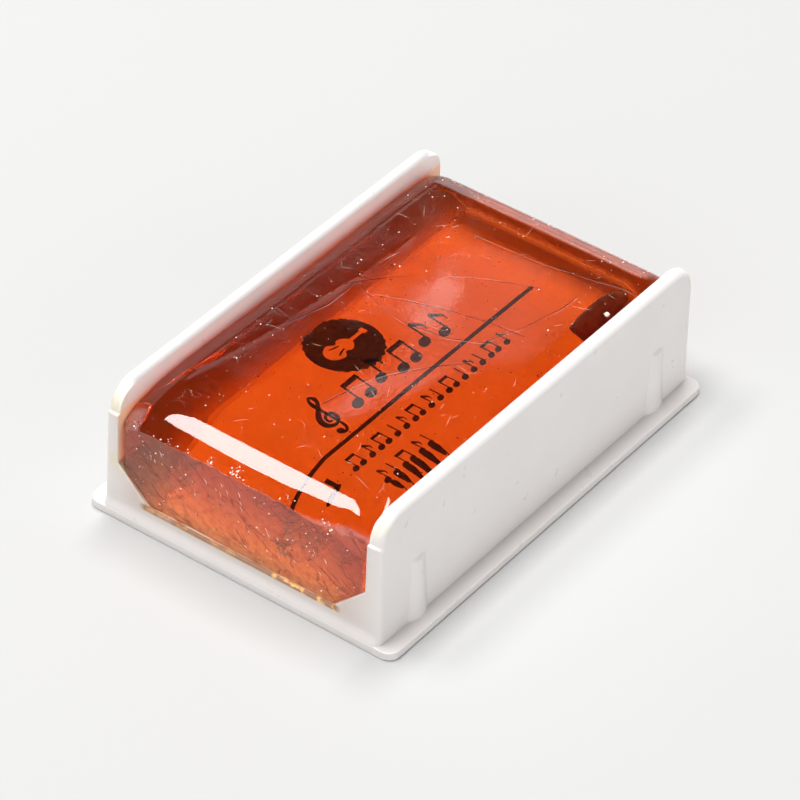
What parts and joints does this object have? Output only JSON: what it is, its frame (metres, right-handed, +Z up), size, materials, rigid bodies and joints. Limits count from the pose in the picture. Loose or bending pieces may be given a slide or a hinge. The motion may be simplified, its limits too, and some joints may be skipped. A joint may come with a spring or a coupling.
{
  "type": "rosin cake",
  "caption": "Translucent amber rosin cake cast in an open-ended white plastic tray, between its side walls, with a printed label showing through from the tray's floor.",
  "frame": {"origin": "centre of the tray's underside", "axes": "+X along the cake in the direction that bow hair is drawn, +Y across it from wall to wall, +Z up out of the tray"},
  "size_m": [0.052, 0.0364, 0.0154],
  "materials": {
    "tray_plastic": "glossy injection moulding, white",
    "label_paper": "printed paper, matte",
    "rosin": "glossy cast rosin, translucent amber",
    "print_ink": "matte dark printing ink"
  },
  "bodies": {
    "root": {"tray": "tray_plastic", "label": "label_paper", "rosin_cake": "rosin"}
  },
  "joints": []
}
